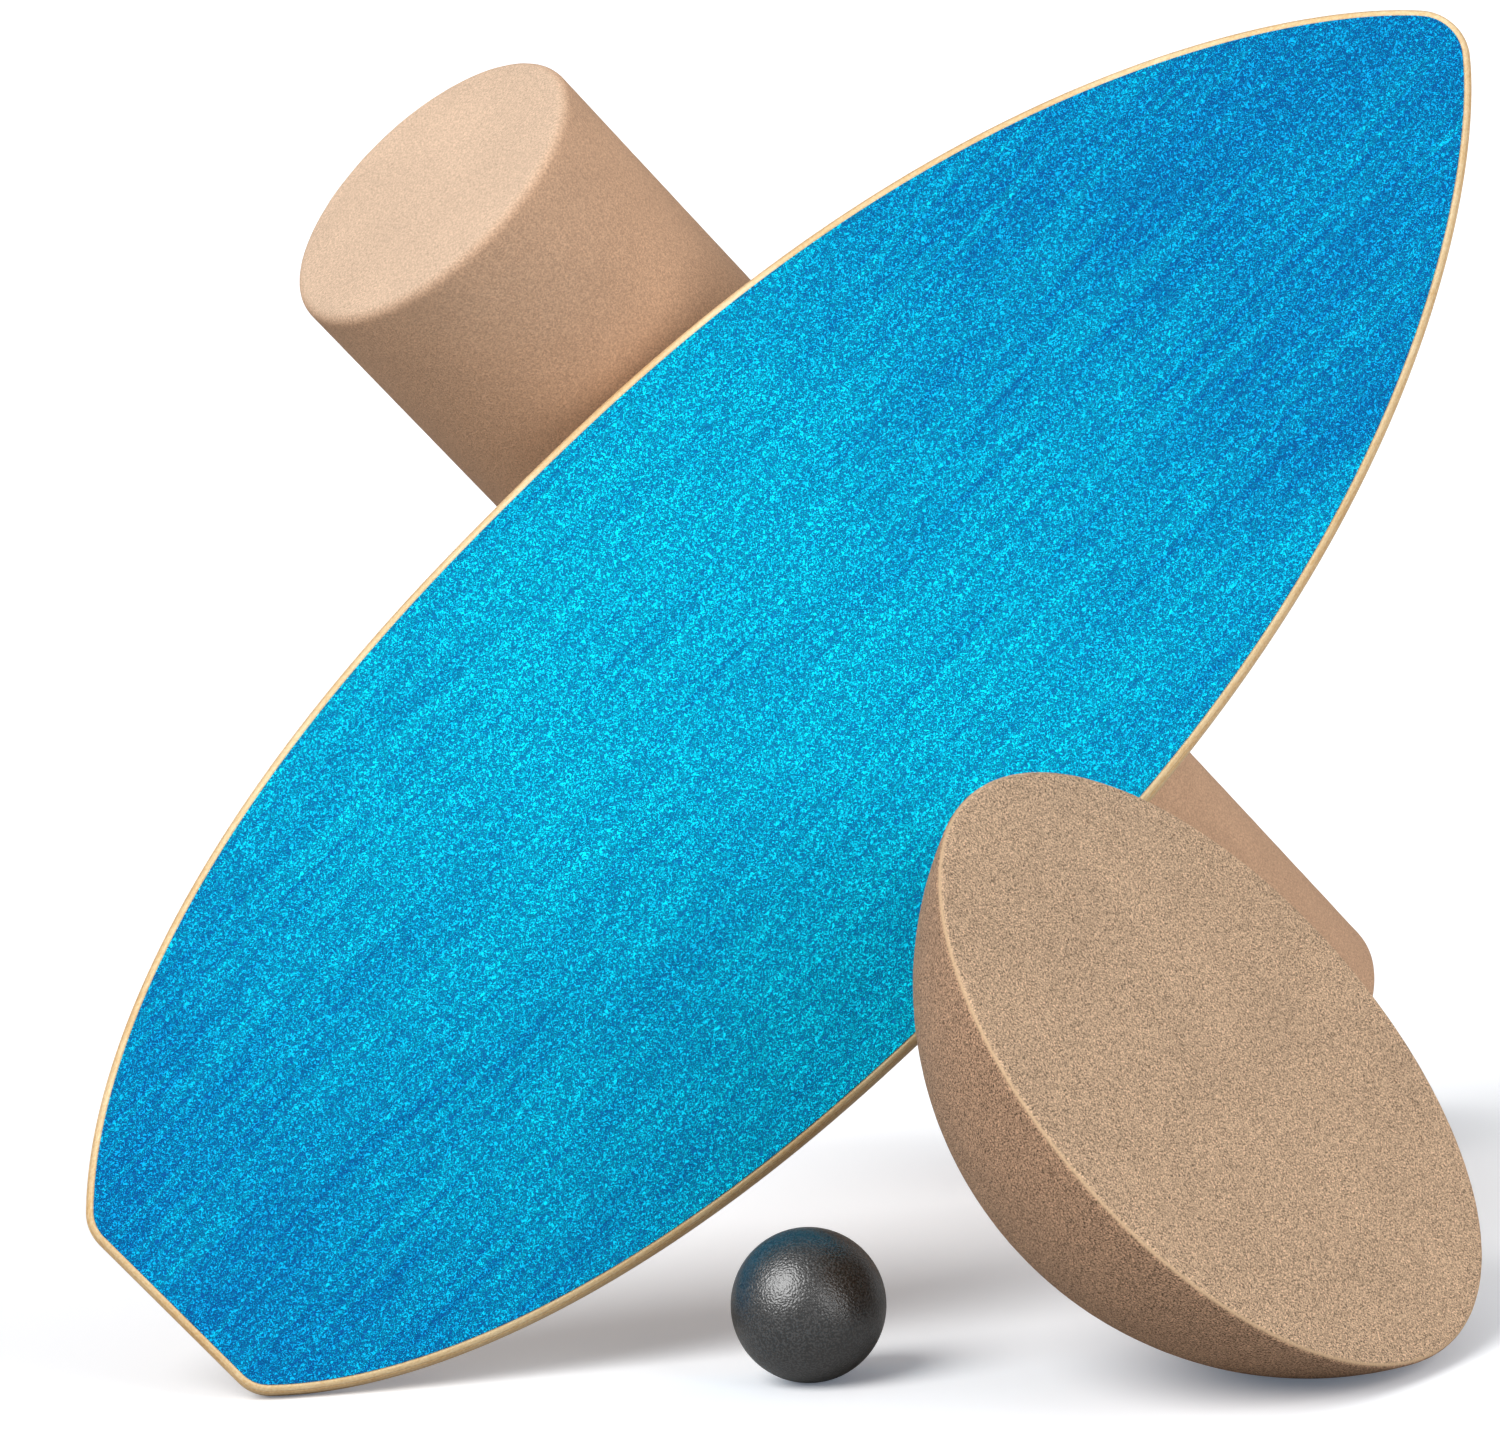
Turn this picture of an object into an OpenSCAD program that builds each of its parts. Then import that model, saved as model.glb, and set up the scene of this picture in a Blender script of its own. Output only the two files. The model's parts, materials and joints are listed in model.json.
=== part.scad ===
// Roller balance board set: a surf-shaped plywood deck with a textured grip face, the cork roller
// and the cork half ball that it is ridden on, and a massage ball, set out standing on a floor.
// Millimetres. X runs to the right, Y to the back and Z up. The floor is Z = 0, and the origin is
// on it, under the middle of the whole set.

/* [Deck outline] */
// Half of the greatest width
deck_half_w = 138.4; // [130:0.2:150]
// Distance from the tail to the widest place
widest_at = 334; // [320:1:350]
// Distance from the widest place to where the two nose curves would meet
nose_reach = 413.6; // [395:0.2:430]
// How long the nose curve stays full before it turns in
nose_power = 2.32; // [2:0.02:2.6]
// How steeply the nose curve closes
nose_close = 0.768; // [0.7:0.002:0.8]
// Distance from the widest place to where the two tail curves would meet
tail_reach = 356; // [355:0.5:375]
// How long the tail curve stays full before it turns in
tail_power = 2.33; // [2:0.01:2.6]
// How steeply the tail curve closes
tail_close = 0.55; // [0.5:0.01:0.6]
// Radius of the two corners of the straight tail
tail_corner_r = 18; // [12:1:22]
// Length of the nose that a round tip takes the place of
nose_blunt = 9; // [6:1:14]

/* [Deck layers] */
// Thickness of one veneer
ply_t = 1.6; // [1.2:0.1:2]
// Thickness of the textured grip face
grip_t = 0.6; // [0.4:0.1:1]
// Radius that the edge of the deck is rounded to
edge_r = 5; // [3:0.5:6]
// Width of bare wood between the edge and the grip face
grip_inset = 3.4; // [3:0.2:5]

/* [Roller stops under the deck] */
// Width of a stop along the deck
stop_w = 24; // [20:1:30]
// Height of a stop under the deck
stop_h = 16; // [12:1:20]
// Length of the stop near the tail
tail_stop_l = 150; // [120:5:160]
// Length of the stop near the nose
nose_stop_l = 110; // [90:5:120]
// Distance from the tail to the middle of the tail stop
tail_stop_at = 66; // [60:1:80]
// Distance from the tail to the middle of the nose stop
nose_stop_at = 640; // [600:1:650]
// Shank diameter of a stop screw
screw_d = 4; // [3:0.5:5]
// Head diameter of a stop screw
screw_head_d = 8; // [7:0.5:9]
// Length of a stop screw
screw_l = 25; // [20:1:26]

/* [Cork roller] */
// Diameter of the roller
roller_d = 142.6; // [110:0.2:150]
// Length of the roller
roller_l = 579; // [450:1:600]
// Radius of the roller's end edges
roller_edge_r = 5; // [3:0.5:8]

/* [Cork half ball] */
// Diameter of the half ball's flat face
half_ball_d = 286; // [260:1:300]
// Height of the half ball, from its flat face to the top of its dome
half_ball_h = 100.6; // [85:0.2:110]
// Radius of the edge round the flat face
half_ball_edge_r = 2.5; // [2:0.5:5]

/* [Massage ball] */
// Diameter of the massage ball
ball_d = 61.5; // [55:0.5:70]

/* [How the set stands] */
// Lean of the deck away from upright
deck_lean = 18; // [15:0.1:20]
// Turn of the deck in its own plane, which lifts the nose
deck_rise = 41.6; // [38:0.1:44]
// Climb of the roller's axis above the floor
roller_pitch = 46.6; // [44:0.1:48]
// Compass direction that the roller's upper end points in, from +X towards +Y
roller_heading = 214.7; // [212:0.1:218]
// Tilt of the half ball's flat face from level
half_ball_tilt = 52.5; // [50:0.5:56]
// Compass direction that the half ball's flat face looks in
half_ball_heading = -31; // [-35:0.5:-28]

/* [Hidden] */

// Number of veneers glued into the plywood, one node each
ply_count = 9;

// Where each piece stands on the floor: the deck's middle, the roller's lowest point,
// the half ball's sphere centre and the massage ball's centre
deck_at = [12.7, -44.6];
roller_foot_at = [150.4, 230.6];
half_ball_at = [190.3, -216.4];
ball_at = [-9.9, -170.7];

plywood_t = ply_count * ply_t;
deck_t = plywood_t + grip_t;
half_ball_r = half_ball_d / 2;
dome_r = (half_ball_r * half_ball_r + half_ball_h * half_ball_h) / (2 * half_ball_h);
face_drop = dome_r - half_ball_h;
// Gap round a screw in the plies, and how much wider than the screw its hole in a stop is
pilot_play = 0.05;
screw_play = 0.2;
// Width of the bevel planed along the lower edges of a stop
stop_bevel = 4;
screws_per_stop = 3;
screw_sink_h = (screw_head_d - screw_d) / 2;
// How far a cutting shape runs past the face that it cuts
cut_over = 1;
// Facets of round shapes, points of the outline, and the step that its slope is taken over
round_fn = 96;
screw_fn = 32;
flank_steps = 60;
arc_steps = 8;
slope_step = 0.01;

// ---- Deck outline: the half width at a distance x from the tail, and a point on it ----

// Each flank is a power curve, full in the middle and closing towards its end
function nose_half_w(x) = pow(1 - pow((x - widest_at) / nose_reach, nose_power), nose_close);
function tail_half_w(x) = pow(1 - pow((widest_at - x) / tail_reach, tail_power), tail_close);
function half_w(x) = deck_half_w * (x > widest_at ? nose_half_w(x) : tail_half_w(x));
function slope(x) = (half_w(x + slope_step) - half_w(x - slope_step)) / (2 * slope_step);
function outward(x) = [-slope(x), 1] / norm([-slope(x), 1]);

// The tail corner is an arc that meets the straight tail and the flank: its centre is one
// radius from both, and a few rounds of this settle where it leaves the flank
function corner_end(x, rounds) =
    rounds == 0 ? x : corner_end(tail_corner_r * (1 + outward(x)[0]), rounds - 1);
corner_start = tail_corner_r / 3;
corner_rounds = 8;
corner_x = corner_end(corner_start, corner_rounds);
corner_c = [corner_x, half_w(corner_x)] - tail_corner_r * outward(corner_x);
corner_a = atan2(outward(corner_x)[1], outward(corner_x)[0]);

// The nose tip is an arc whose centre is where the flank's normal meets the centre line
tip_x = widest_at + nose_reach - nose_blunt;
tip_cx = tip_x + half_w(tip_x) * slope(tip_x);
tip_r = norm([tip_x - tip_cx, half_w(tip_x)]);
tip_a = atan2(half_w(tip_x), tip_x - tip_cx);
deck_l = tip_cx + tip_r;

function arc(c, r, from, to) =
    [for (i = [0 : arc_steps]) c + r * [cos(from + (to - from) * i / arc_steps),
                                        sin(from + (to - from) * i / arc_steps)]];

// Cosine steps put more points where the flank bends most, towards its two ends
function flank_x(i) = corner_x + (tip_x - corner_x) * (1 - cos(180 * i / flank_steps)) / 2;
function flank(inset) =
    [for (i = [1 : flank_steps - 1])
        [flank_x(i), half_w(flank_x(i))] - inset * outward(flank_x(i))];
function one_side(inset) = concat(
    arc(corner_c, tail_corner_r - inset, 180, corner_a),
    flank(inset),
    arc([tip_cx, 0], tip_r - inset, tip_a, 0)
);
function reversed(v) = [for (i = [len(v) - 1 : -1 : 0]) v[i]];
function mirrored(v) = [for (p = v) [p[0], -p[1]]];
function centred(v) = [for (p = v) [p[0] - deck_l / 2, p[1]]];
function outline(inset) = centred(concat(
    one_side(inset),
    [for (i = [1 : len(one_side(inset)) - 1]) reversed(mirrored(one_side(inset)))[i]]
));

// ---- Deck layers ----

// A rounded edge draws a layer in by this much at a depth under the nearer face
function round_in(depth) =
    depth >= edge_r ? 0 : edge_r - sqrt(edge_r * edge_r - (edge_r - depth) * (edge_r - depth));
function ply_mid(i) = (i - 0.5) * ply_t;
function ply_inset(i) = round_in(min(ply_mid(i), deck_t - ply_mid(i)));
function deck_low(inset, z) =
    min([for (p = outline(inset))
        cos(deck_lean) * (p[0] * sin(deck_rise) + p[1] * cos(deck_rise)) + sin(deck_lean) * z]);

// The deck stands on the lowest corner of its layers
deck_lift = -min([for (i = [1 : ply_count]) deck_low(ply_inset(i), (i - 1) * ply_t - deck_t / 2)]);

// Stands a shape on its lower tail corner; its X runs along the deck and Z = 0 is the underside
module stand_deck() {
    translate([deck_at[0], deck_at[1], deck_lift])
        rotate([90 - deck_lean, 0, 0])
            rotate([0, 0, deck_rise])
                translate([0, 0, -deck_t / 2])
                    children();
}

function screw_y(stop_l, i) = (i - (screws_per_stop - 1) / 2) * stop_l / screws_per_stop;
function screw_places() = concat(
    [for (i = [0 : screws_per_stop - 1]) [tail_stop_at - deck_l / 2, screw_y(tail_stop_l, i)]],
    [for (i = [0 : screws_per_stop - 1]) [nose_stop_at - deck_l / 2, screw_y(nose_stop_l, i)]]
);

// One hole at every stop screw, upwards from a height
module screw_holes(d, from, length) {
    for (p = screw_places())
        translate([p[0], p[1], from])
            cylinder(d = d, h = length, $fn = screw_fn);
}

// One veneer of the plywood; the lower ones are drilled for the screws
module ply(i) {
    screw_reach = screw_l - stop_h;
    color(i % 2 == 0 ? "burlywood" : "wheat")
        stand_deck()
            difference() {
                translate([0, 0, (i - 1) * ply_t])
                    linear_extrude(ply_t)
                        polygon(outline(ply_inset(i)));
                if ((i - 1) * ply_t < screw_reach)
                    screw_holes(screw_d + 2 * pilot_play, -cut_over, screw_reach + cut_over + screw_play);
            }
}

// The blue textured face that the feet stand on
module grip_face() {
    color("deepskyblue")
        stand_deck()
            translate([0, 0, plywood_t])
                linear_extrude(grip_t)
                    polygon(outline(grip_inset));
}

// ---- Roller stops ----

module stop_bar(at, length) {
    color("burlywood")
        stand_deck()
            difference() {
                translate([at - deck_l / 2, 0, -stop_h])
                    stop_block(length);
                screw_holes(screw_d + screw_play, -stop_h - cut_over, stop_h + 2 * cut_over);
                screw_sinks();
            }
}

// A bar with round ends seen from below, and its lower edges planed off
module stop_block(length) {
    intersection() {
        linear_extrude(stop_h)
            stop_plan(length);
        rotate([90, 0, 0])
            linear_extrude(length + 2 * cut_over, center = true)
                polygon([
                    [-stop_w / 2, stop_h], [-stop_w / 2, stop_bevel],
                    [-stop_w / 2 + stop_bevel, 0], [stop_w / 2 - stop_bevel, 0],
                    [stop_w / 2, stop_bevel], [stop_w / 2, stop_h],
                ]);
    }
}

module stop_plan(length) {
    for (side = [-1, 1])
        translate([0, side * (length - stop_w) / 2])
            circle(d = stop_w, $fn = round_fn);
    square([stop_w, length - stop_w], center = true);
}

// Countersinks in the lower face of the stops
module screw_sinks() {
    for (p = screw_places())
        translate([p[0], p[1], -stop_h - pilot_play])
            cylinder(d1 = screw_head_d + 2 * screw_play, d2 = screw_d + screw_play,
                h = screw_sink_h + screw_play, $fn = screw_fn);
}

module stop_screws() {
    color("silver")
        stand_deck()
            for (p = screw_places())
                translate([p[0], p[1], -stop_h])
                    stop_screw();
}

// A countersunk screw standing on its head, with a cross recess
module stop_screw() {
    recess_w = 1.2;
    recess_l = screw_head_d * 0.55;
    recess_depth = 1.4;
    difference() {
        union() {
            cylinder(d1 = screw_head_d, d2 = screw_d, h = screw_sink_h, $fn = screw_fn);
            translate([0, 0, screw_sink_h])
                cylinder(d = screw_d, h = screw_l - screw_sink_h, $fn = screw_fn);
        }
        for (turn = [0, 90])
            rotate([0, 0, turn])
                cube([recess_l, recess_w, 2 * recess_depth], center = true);
    }
}

// ---- Cork roller ----

// Height of the low end's centre that sets its rounded rim on the floor
roller_rim_r = roller_d / 2 - roller_edge_r;
roller_lift = roller_rim_r * cos(roller_pitch) + roller_edge_r * (1 - sin(roller_pitch));

module cork_roller() {
    color("tan")
        translate([
            roller_foot_at[0] - roller_d / 2 * sin(roller_pitch) * cos(roller_heading),
            roller_foot_at[1] - roller_d / 2 * sin(roller_pitch) * sin(roller_heading),
            roller_lift,
        ])
            rotate([0, 90 - roller_pitch, roller_heading])
                rotate_extrude($fn = round_fn)
                    rounded_half_section(roller_d / 2, roller_l, roller_edge_r);
}

// Half of a cylinder's section with both outer corners rounded
module rounded_half_section(r, h, edge) {
    difference() {
        square([r, h]);
        for (end = [0, 1])
            translate([r, end * h])
                difference() {
                    square(2 * edge, center = true);
                    translate([-edge, (1 - 2 * end) * edge])
                        circle(r = edge, $fn = round_fn);
                }
    }
}

// ---- Cork half ball ----

// A dome under a flat face, turned about the centre of the dome's sphere. The edge is an arc
// that meets the face and the dome, so its centre is one radius inside each
edge_cy = -face_drop - half_ball_edge_r;
edge_cx = sqrt(pow(dome_r - half_ball_edge_r, 2) - edge_cy * edge_cy);
edge_a = atan2(edge_cy, edge_cx);

module half_ball() {
    color("rosybrown")
        translate([half_ball_at[0], half_ball_at[1], dome_r])
            rotate([0, half_ball_tilt, half_ball_heading])
                rotate_extrude($fn = 2 * round_fn)
                    intersection() {
                        translate([0, -dome_r])
                            square([dome_r, half_ball_h]);
                        union() {
                            dome_sector();
                            translate([edge_cx, edge_cy])
                                circle(r = half_ball_edge_r, $fn = round_fn);
                        }
                    }
}

// The half section inside the edge arc's centre, which the arc then closes
module dome_sector() {
    intersection() {
        circle(r = dome_r, $fn = 4 * round_fn);
        polygon([
            [0, -face_drop], [0, -2 * dome_r],
            2 * dome_r * [cos(edge_a), sin(edge_a)],
            [edge_cx, edge_cy],
            [edge_cx, -face_drop],
        ]);
    }
}

// ---- Massage ball ----

module massage_ball() {
    color("dimgray")
        translate([ball_at[0], ball_at[1], ball_d / 2])
            sphere(d = ball_d, $fn = round_fn);
}

grip_face();
ply(1);  // ply_1
ply(2);  // ply_2
ply(3);  // ply_3
ply(4);  // ply_4
ply(5);  // ply_5
ply(6);  // ply_6
ply(7);  // ply_7
ply(8);  // ply_8
ply(9);  // ply_9
stop_bar(tail_stop_at, tail_stop_l);  // tail_stop
stop_bar(nose_stop_at, nose_stop_l);  // nose_stop
stop_screws();
cork_roller();
half_ball();
massage_ball();
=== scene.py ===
# %% [markdown]
# # A roller balance board set
#
# The set is a surf-shaped plywood deck with a blue grip face, a cork roller, a cork half ball and
# a rubber massage ball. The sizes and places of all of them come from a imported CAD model. This
# notebook gives each piece a fine mesh and a material that is worked out from how the real one is
# made.

# %% Load the frame
import json

import bpy
import numpy as np
from mathutils import Matrix, Vector


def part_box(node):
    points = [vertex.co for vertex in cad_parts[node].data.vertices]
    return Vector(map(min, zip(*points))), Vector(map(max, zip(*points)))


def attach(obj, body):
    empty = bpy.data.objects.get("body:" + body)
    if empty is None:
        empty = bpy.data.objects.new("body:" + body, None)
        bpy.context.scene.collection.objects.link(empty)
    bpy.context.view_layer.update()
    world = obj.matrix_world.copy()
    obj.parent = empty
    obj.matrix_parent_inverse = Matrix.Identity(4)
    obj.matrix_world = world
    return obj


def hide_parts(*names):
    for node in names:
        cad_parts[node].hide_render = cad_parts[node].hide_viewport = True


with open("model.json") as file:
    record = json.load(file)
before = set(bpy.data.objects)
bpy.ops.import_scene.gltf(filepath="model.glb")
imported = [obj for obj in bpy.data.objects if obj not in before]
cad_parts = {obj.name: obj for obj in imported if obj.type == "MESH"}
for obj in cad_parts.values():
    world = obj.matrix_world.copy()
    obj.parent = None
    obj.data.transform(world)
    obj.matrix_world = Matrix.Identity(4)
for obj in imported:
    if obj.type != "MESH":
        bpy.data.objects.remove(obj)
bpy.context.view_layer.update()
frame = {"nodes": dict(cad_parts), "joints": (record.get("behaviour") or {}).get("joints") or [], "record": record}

# %% [markdown]
# ## Small helpers
#
# A colour is usually written as an sRGB hex value, but a shader works with linear light. One
# function does that conversion. A second adds one node to a material and joins it up, so that a
# material reads from top to bottom as a list of what it is made of. Blender's node editor could do
# the same by hand, but a list in code can be read, compared and changed in one place.
#
# A few nodes have several sockets of one name, one for each kind of data, and those sockets are
# picked by number. The numbers that are needed here get names.

# %% Colours and nodes
def linear(hex_colour):
    """The linear RGBA of an sRGB hex colour: a straight line near black, a 2.4 power above it."""
    srgb = np.array([int(hex_colour[i:i + 2], 16) for i in (1, 3, 5)]) / 255
    light = np.where(srgb <= 0.04045, srgb / 12.92, ((srgb + 0.055) / 1.055) ** 2.4)
    return (*light, 1.0)


def add(tree, kind, sockets=None, **settings):
    """Adds one node; a socket is given either a value or the output that feeds it."""
    node = tree.nodes.new(kind)
    for name, value in settings.items():
        setattr(node, name, value)
    for socket, value in (sockets or {}).items():
        if isinstance(value, bpy.types.NodeSocket):
            tree.links.new(value, node.inputs[socket])
        else:
            node.inputs[socket].default_value = value
    return node


def new_material(name):
    """An empty node material and its tree, with only the output in it."""
    material = bpy.data.materials.new(name)
    material.use_nodes = True
    material.node_tree.nodes.clear()
    return material, material.node_tree


mm = 0.001
mix_a, mix_b, mix_out = 6, 7, 2
vector_to_min, vector_to_max = 9, 10
print("a grey of #808080 is", round(float(linear("#808080")[0]), 3), "in linear light")

# %% [markdown]
# ## The camera
#
# The set is small and the view of it is flat, as through a long lens from a few metres away. The
# camera looks slightly down, and it is rolled a little so that the deck rises steeply across the
# view. A lens of about 200 mm on a full-frame sensor gives that calm perspective. The camera could
# be dragged into place, but its direction, roll and distance say more when they are numbers.

# %% Aim the camera
looks_at = Vector((-0.0171, -0.0033, 0.2433))
distance = 3.52
looks_down = np.radians(7.28)
rolled = np.radians(-3.93)
lens_mm, sensor_mm = 205.8, 36.0

forward = Vector((0, np.cos(looks_down), -np.sin(looks_down)))
level_right = Vector((1, 0, 0))
level_up = level_right.cross(forward)
right = level_right * np.cos(rolled) + level_up * np.sin(rolled)
up = right.cross(forward)

camera = bpy.data.objects.new("camera", bpy.data.cameras.new("camera"))
camera.data.lens = lens_mm
camera.data.sensor_width = sensor_mm
camera.data.clip_end = 100  # metres, so that the far end of the floor isn't cut off
axes = Matrix((right, up, -forward)).transposed().to_4x4()
camera.matrix_world = Matrix.Translation(looks_at - forward * distance) @ axes
bpy.context.scene.collection.objects.link(camera)
bpy.context.scene.camera = camera
print("camera at", [round(x, 3) for x in camera.matrix_world.translation])

# %% [markdown]
# ## Meshes from arrays
#
# Every new piece here is a grid of points: rings that follow each other, each with the same number
# of points. The rings are worked out as whole numpy arrays. Each point is joined to its neighbours
# with four-sided faces, and the two ends are closed either with one flat face or with a fan that
# meets in a single point. The signed volume of the result tells if the faces point outwards.

# %% From rings to a closed mesh
def ring_faces(rings, points):
    """Quads between each ring and the next, with the corner indices worked out all at once."""
    ring, point = np.meshgrid(np.arange(rings - 1), np.arange(points), indexing="ij")
    beside = (point + 1) % points
    quads = [ring * points + point, ring * points + beside,
             (ring + 1) * points + beside, (ring + 1) * points + point]
    return np.stack(quads, -1).reshape(-1, 4)


def signed_volume(obj):
    """The volume inside a mesh, in cubic metres: negative when its faces point inwards."""
    obj.data.calc_loop_triangles()
    corners = np.zeros(len(obj.data.loop_triangles) * 3, np.int32)
    obj.data.loop_triangles.foreach_get("vertices", corners)
    places = np.zeros(len(obj.data.vertices) * 3)
    obj.data.vertices.foreach_get("co", places)
    a, b, c = np.moveaxis(places.reshape(-1, 3)[corners.reshape(-1, 3)], 1, 0)
    return float(np.einsum("ij,ij->", a, np.cross(b, c)) / 6)


def mesh_piece(name, points, faces, smooth):
    """A mesh object at the origin from points and faces; smooth says which faces shade smoothly."""
    mesh = bpy.data.meshes.new(name)
    mesh.from_pydata(points.tolist(), [], faces)
    mesh.polygons.foreach_set("use_smooth", smooth)
    mesh.update()
    piece = bpy.data.objects.new(name, mesh)
    bpy.context.scene.collection.objects.link(piece)
    litres = signed_volume(piece) * 1000
    print(f"{name}: {len(points)} points, {len(faces)} faces, {litres:.4f} litres")
    assert litres > 0, f"{name} is inside out"
    return piece

# %% [markdown]
# ## Where the deck stands
#
# The CAD model says where the deck's standing face is and which way it looks. The nose tip is the
# point of that face that lies furthest from the tail, so the line to it from the face's middle is
# the deck's length. With those two directions, every layer of the deck can be worked out flat on a
# bench, with X along the deck and Z through it, and then stood up. Turning the finished object
# would be shorter, but a piece whose place is in its mesh can't slip out of the frame.

# %% The deck's own directions
record = frame["record"]
mounts = {mount["name"]: mount for mount in record["mounts"]}
joints = {joint["name"]: joint for joint in frame["joints"]}

face_middle = np.array(mounts["standing_face"]["pos_m"])
through = np.array(mounts["standing_face"]["axis"])
through = through / np.linalg.norm(through)
grip_points = np.array([vertex.co for vertex in frame["nodes"]["grip_face"].data.vertices])
tail_to_nose = np.mean(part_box("nose_stop"), axis=0) - np.mean(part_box("tail_stop"), axis=0)
nose_tip = grip_points[np.argmax(grip_points @ tail_to_nose)]
to_nose = nose_tip - face_middle
along = to_nose - through * (to_nose @ through)
along = along / np.linalg.norm(along)
across = np.cross(through, along)
deck_turn = np.stack([along, across, through], axis=1)

deck_t = 15.0 * mm
grip_t = 0.6 * mm
ply_count = 9
ply_t = (deck_t - grip_t) / ply_count
underside_middle = face_middle - through * deck_t


def stand_up(bench_points):
    """Turns points from the bench to where they stand: each axis times its length, plus a place."""
    return underside_middle + bench_points @ deck_turn.T


print("deck length runs along", along.round(3), "and it faces", through.round(3))

# %% [markdown]
# ## The deck's outline
#
# A surfboard's outline is full in the middle and closes towards both ends. A power curve says that
# in one line: the half width is the greatest half width times (1 - t to a power) to a second
# power, where t runs from 0 at the widest place to 1 where the two sides would meet. The nose and
# the tail each have their own curve. A small arc blunts the nose, and two arcs soften the
# straight-cut tail. A spline through a few points would do too, but these numbers can be measured
# on a real board.

# %% One side of the outline
half_width = 138.4 * mm
widest_at = 334 * mm
nose_reach, nose_power, nose_close = 413.6 * mm, 2.32, 0.768
tail_reach, tail_power, tail_close = 356 * mm, 2.33, 0.55
tail_corner_r = 18 * mm
nose_blunt = 9 * mm
flank_points, corner_points, tip_points = 260, 24, 16


def half_w(x):
    """Half the deck's width at distances x from the tail: a power curve each side of the widest."""
    to_end = np.where(x > widest_at, (x - widest_at) / nose_reach, (widest_at - x) / tail_reach)
    power = np.where(x > widest_at, nose_power, tail_power)
    close = np.where(x > widest_at, nose_close, tail_close)
    return half_width * (1 - to_end ** power) ** close


def outward(x):
    """The unit normals of the flank at distances x: its slope, turned a quarter."""
    step = 0.01 * mm
    slope = (half_w(x + step) - half_w(x - step)) / (2 * step)
    normal = np.stack([-slope, np.ones_like(slope)], -1)
    return normal / np.linalg.norm(normal, axis=-1, keepdims=True)


def arc(middle, radius, start, end, steps):
    """Points on a circle between two angles."""
    angle = np.linspace(start, end, steps)
    return middle + radius * np.stack([np.cos(angle), np.sin(angle)], -1)


# The corner's arc touches both the tail's cut and the flank. Where it leaves the flank depends on
# the flank's slope there, so a first guess goes back into the formula until it stops changing.
corner_x = np.array(tail_corner_r / 3)
for repeat in range(8):
    corner_x = tail_corner_r * (1 + outward(corner_x)[0])
corner_normal = outward(corner_x)
corner_middle = np.array([corner_x, half_w(corner_x)]) - tail_corner_r * corner_normal

# The nose's arc leaves the flank at right angles to its own radius, so its middle is where the
# flank's normal meets the deck's middle line.
tip_x = np.array(widest_at + nose_reach - nose_blunt)
tip_normal = outward(tip_x)
tip_r = float(half_w(tip_x) / tip_normal[1])
tip_middle = np.array([tip_x - tip_r * tip_normal[0], 0.0])
deck_l = tip_middle[0] + tip_r


def outline(inset):
    """The closed outline, drawn in by the inset: tail arc, flank and nose arc, then their mirror.

    The flank's points follow half a cosine, so they lie closest at the ends, where it turns.
    """
    bend = (1 - np.cos(np.linspace(0, np.pi, flank_points)[1:-1])) / 2
    flank_x = corner_x + (tip_x - corner_x) * bend
    flank = np.stack([flank_x, half_w(flank_x)], -1) - inset * outward(flank_x)
    corner_angle = np.arctan2(corner_normal[1], corner_normal[0])
    tip_angle = np.arctan2(tip_normal[1], tip_normal[0])
    side = np.concatenate([
        arc(corner_middle, tail_corner_r - inset, np.pi, corner_angle, corner_points),
        flank,
        arc(tip_middle, tip_r - inset, tip_angle, 0, tip_points),
    ])
    loop = np.concatenate([side, side[-2::-1] * [1, -1]])
    return (loop - [deck_l / 2, 0])[::-1]


print(f"the deck is {deck_l / mm:.1f} mm long and {2 * half_width / mm:.1f} mm wide")

# %% [markdown]
# ## The veneers
#
# The plywood is nine thin veneers glued crosswise. After glueing, a router rounds the deck's edge
# over at the top and the bottom, so each veneer keeps a strip of that round. The round draws a
# layer in by r - sqrt(r² - (r - depth)²). Each veneer is a stack of rings that follow this round,
# closed with a flat face above and below, so that together the nine make one smooth edge. A Bevel
# modifier rounds one plate well, but it can't carry one round across nine pieces.

# %% Cut and stack the veneers
edge_r = 5 * mm
rings_per_ply = 5


def round_in(depth):
    """How far the rounded edge draws a layer in at a depth under the nearer face."""
    short = np.clip(edge_r - depth, 0, edge_r)
    return edge_r - np.sqrt(edge_r ** 2 - short ** 2)


def stacked_piece(name, heights, insets):
    """A flat closed piece on the bench: one outline at each height, a face under and over them."""
    rings = [np.column_stack([outline(inset), np.full(len(outline(inset)), height)])
             for height, inset in zip(heights, insets)]
    points = stand_up(np.concatenate(rings))
    count = len(rings[0])
    sides = ring_faces(len(rings), count)
    over = np.arange(count) + count * (len(rings) - 1)
    under = np.arange(count)[::-1]
    smooth = [True] * len(sides) + [False, False]
    return mesh_piece(name, points, sides.tolist() + [under.tolist(), over.tolist()], smooth)


veneers = []
for i in range(ply_count):
    heights = np.linspace(i, i + 1, rings_per_ply) * ply_t
    insets = round_in(np.minimum(heights, deck_t - heights))
    veneers.append(stacked_piece(f"veneer_{i + 1}", heights, insets))

# %% [markdown]
# ## The grip face
#
# The blue face is a thin layer that stops short of the deck's edge and leaves a line of bare wood
# round it. It is made like a veneer, but its own upper edge has a tiny round, because a lacquered
# layer never ends in a knife edge, and that round catches the light as a fine line. Painting the
# blue on the top veneer would be simpler, but the layer's thickness would be lost.

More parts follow.
